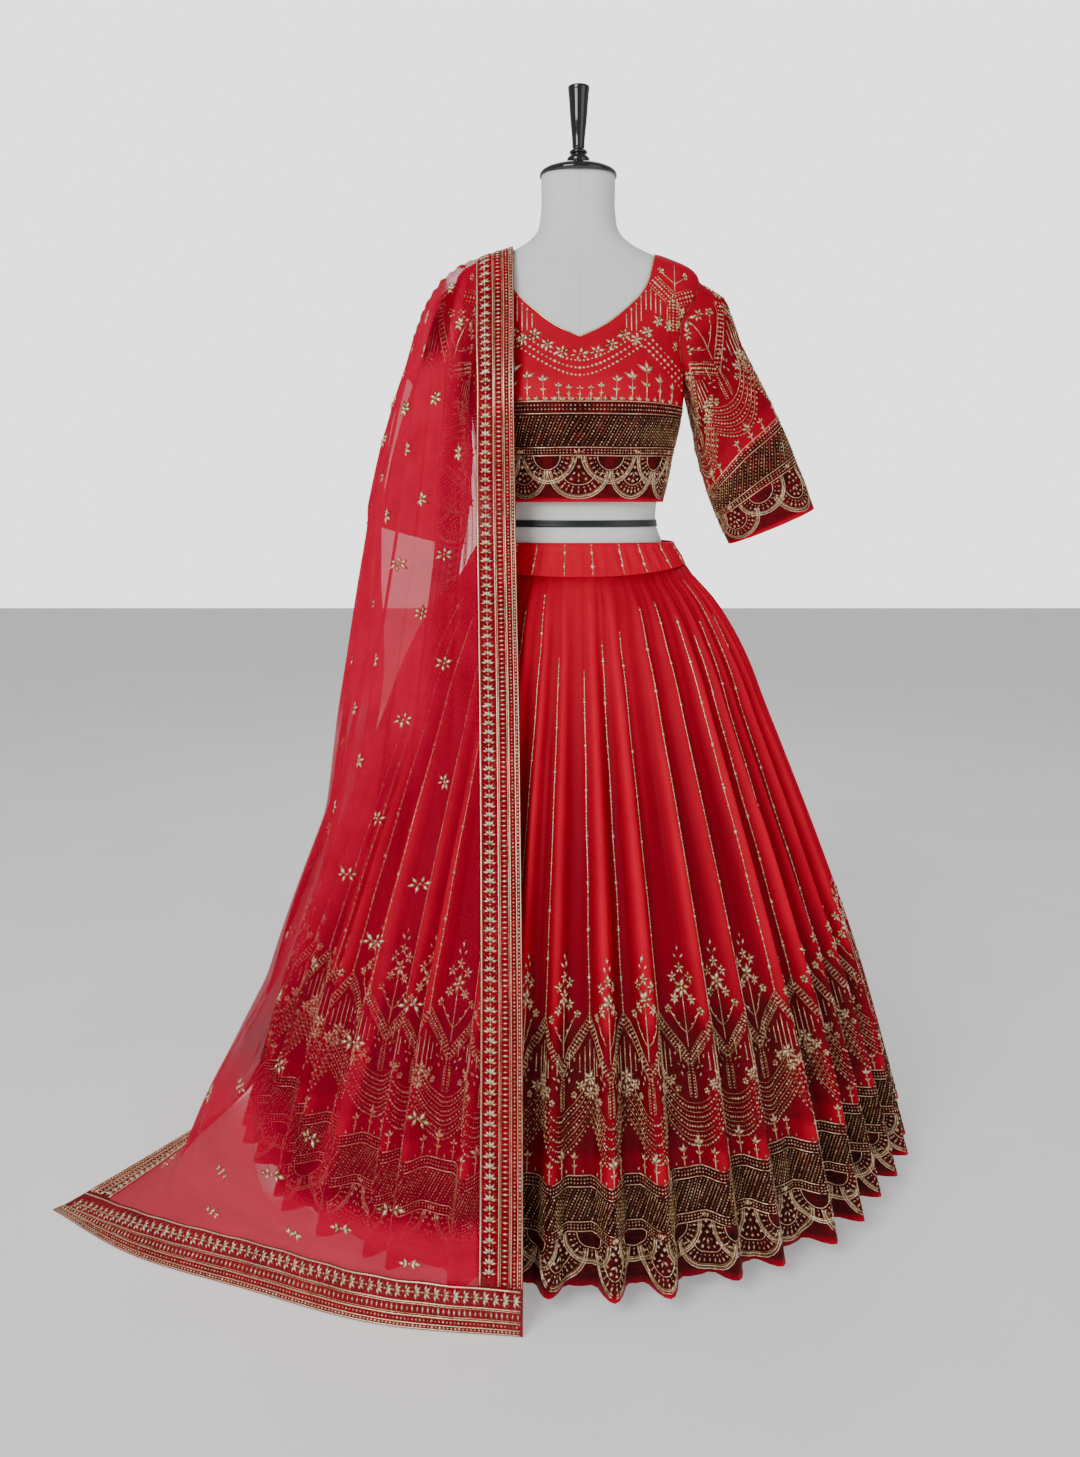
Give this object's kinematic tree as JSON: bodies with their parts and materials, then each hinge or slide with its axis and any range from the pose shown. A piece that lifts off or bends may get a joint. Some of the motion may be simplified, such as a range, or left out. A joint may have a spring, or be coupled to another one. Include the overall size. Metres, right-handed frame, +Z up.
{
  "type": "lehenga choli on dress form",
  "caption": "Red embroidered lehenga choli with a net dupatta over one shoulder, dressed on a limbless dress form with a stand.",
  "frame": {"origin": "on the floor, at the centre of the underside of the stand's round base, under the pole", "axes": "+Z up, the front of the garment faces -Y, the wearer's left arm is on the +X side"},
  "size_m": [1.2974, 1.0754, 1.5756],
  "materials": {
    "red_cloth": "soft satin georgette with gold embroidery",
    "red_net": "sheer net",
    "gold_border": "gold thread and sequins on red net",
    "form_cover": "matt pale jersey cover",
    "black_gloss": "gloss",
    "black_tape": "satin tape",
    "steel": "polished",
    "black_base": "satin black"
  },
  "bodies": {
    "root": {"form_body": "form_cover", "neck_cap": "black_gloss", "finial": "black_gloss", "waist_tape": "black_tape", "pole": "steel", "base": "black_base", "choli_front": "red_cloth", "choli_back": "red_cloth", "sleeve_left": "red_cloth", "sleeve_right": "red_cloth", "waistband": "red_cloth", "skirt_panel_01": "red_cloth", "skirt_panel_02": "red_cloth", "skirt_panel_03": "red_cloth", "skirt_panel_04": "red_cloth", "skirt_panel_05": "red_cloth", "skirt_panel_06": "red_cloth", "skirt_panel_07": "red_cloth", "skirt_panel_08": "red_cloth", "skirt_panel_09": "red_cloth", "skirt_panel_10": "red_cloth", "skirt_panel_11": "red_cloth", "skirt_panel_12": "red_cloth", "dupatta_back_net": "red_net", "dupatta_back_inner_border": "gold_border", "dupatta_back_outer_border": "gold_border", "dupatta_shoulder_net": "red_net", "dupatta_shoulder_inner_border": "gold_border", "dupatta_shoulder_outer_border": "gold_border", "dupatta_front_net": "red_net", "dupatta_front_inner_border": "gold_border", "dupatta_front_outer_border": "gold_border", "dupatta_back_end_border": "gold_border", "dupatta_front_end_border": "gold_border"}
  },
  "joints": []
}
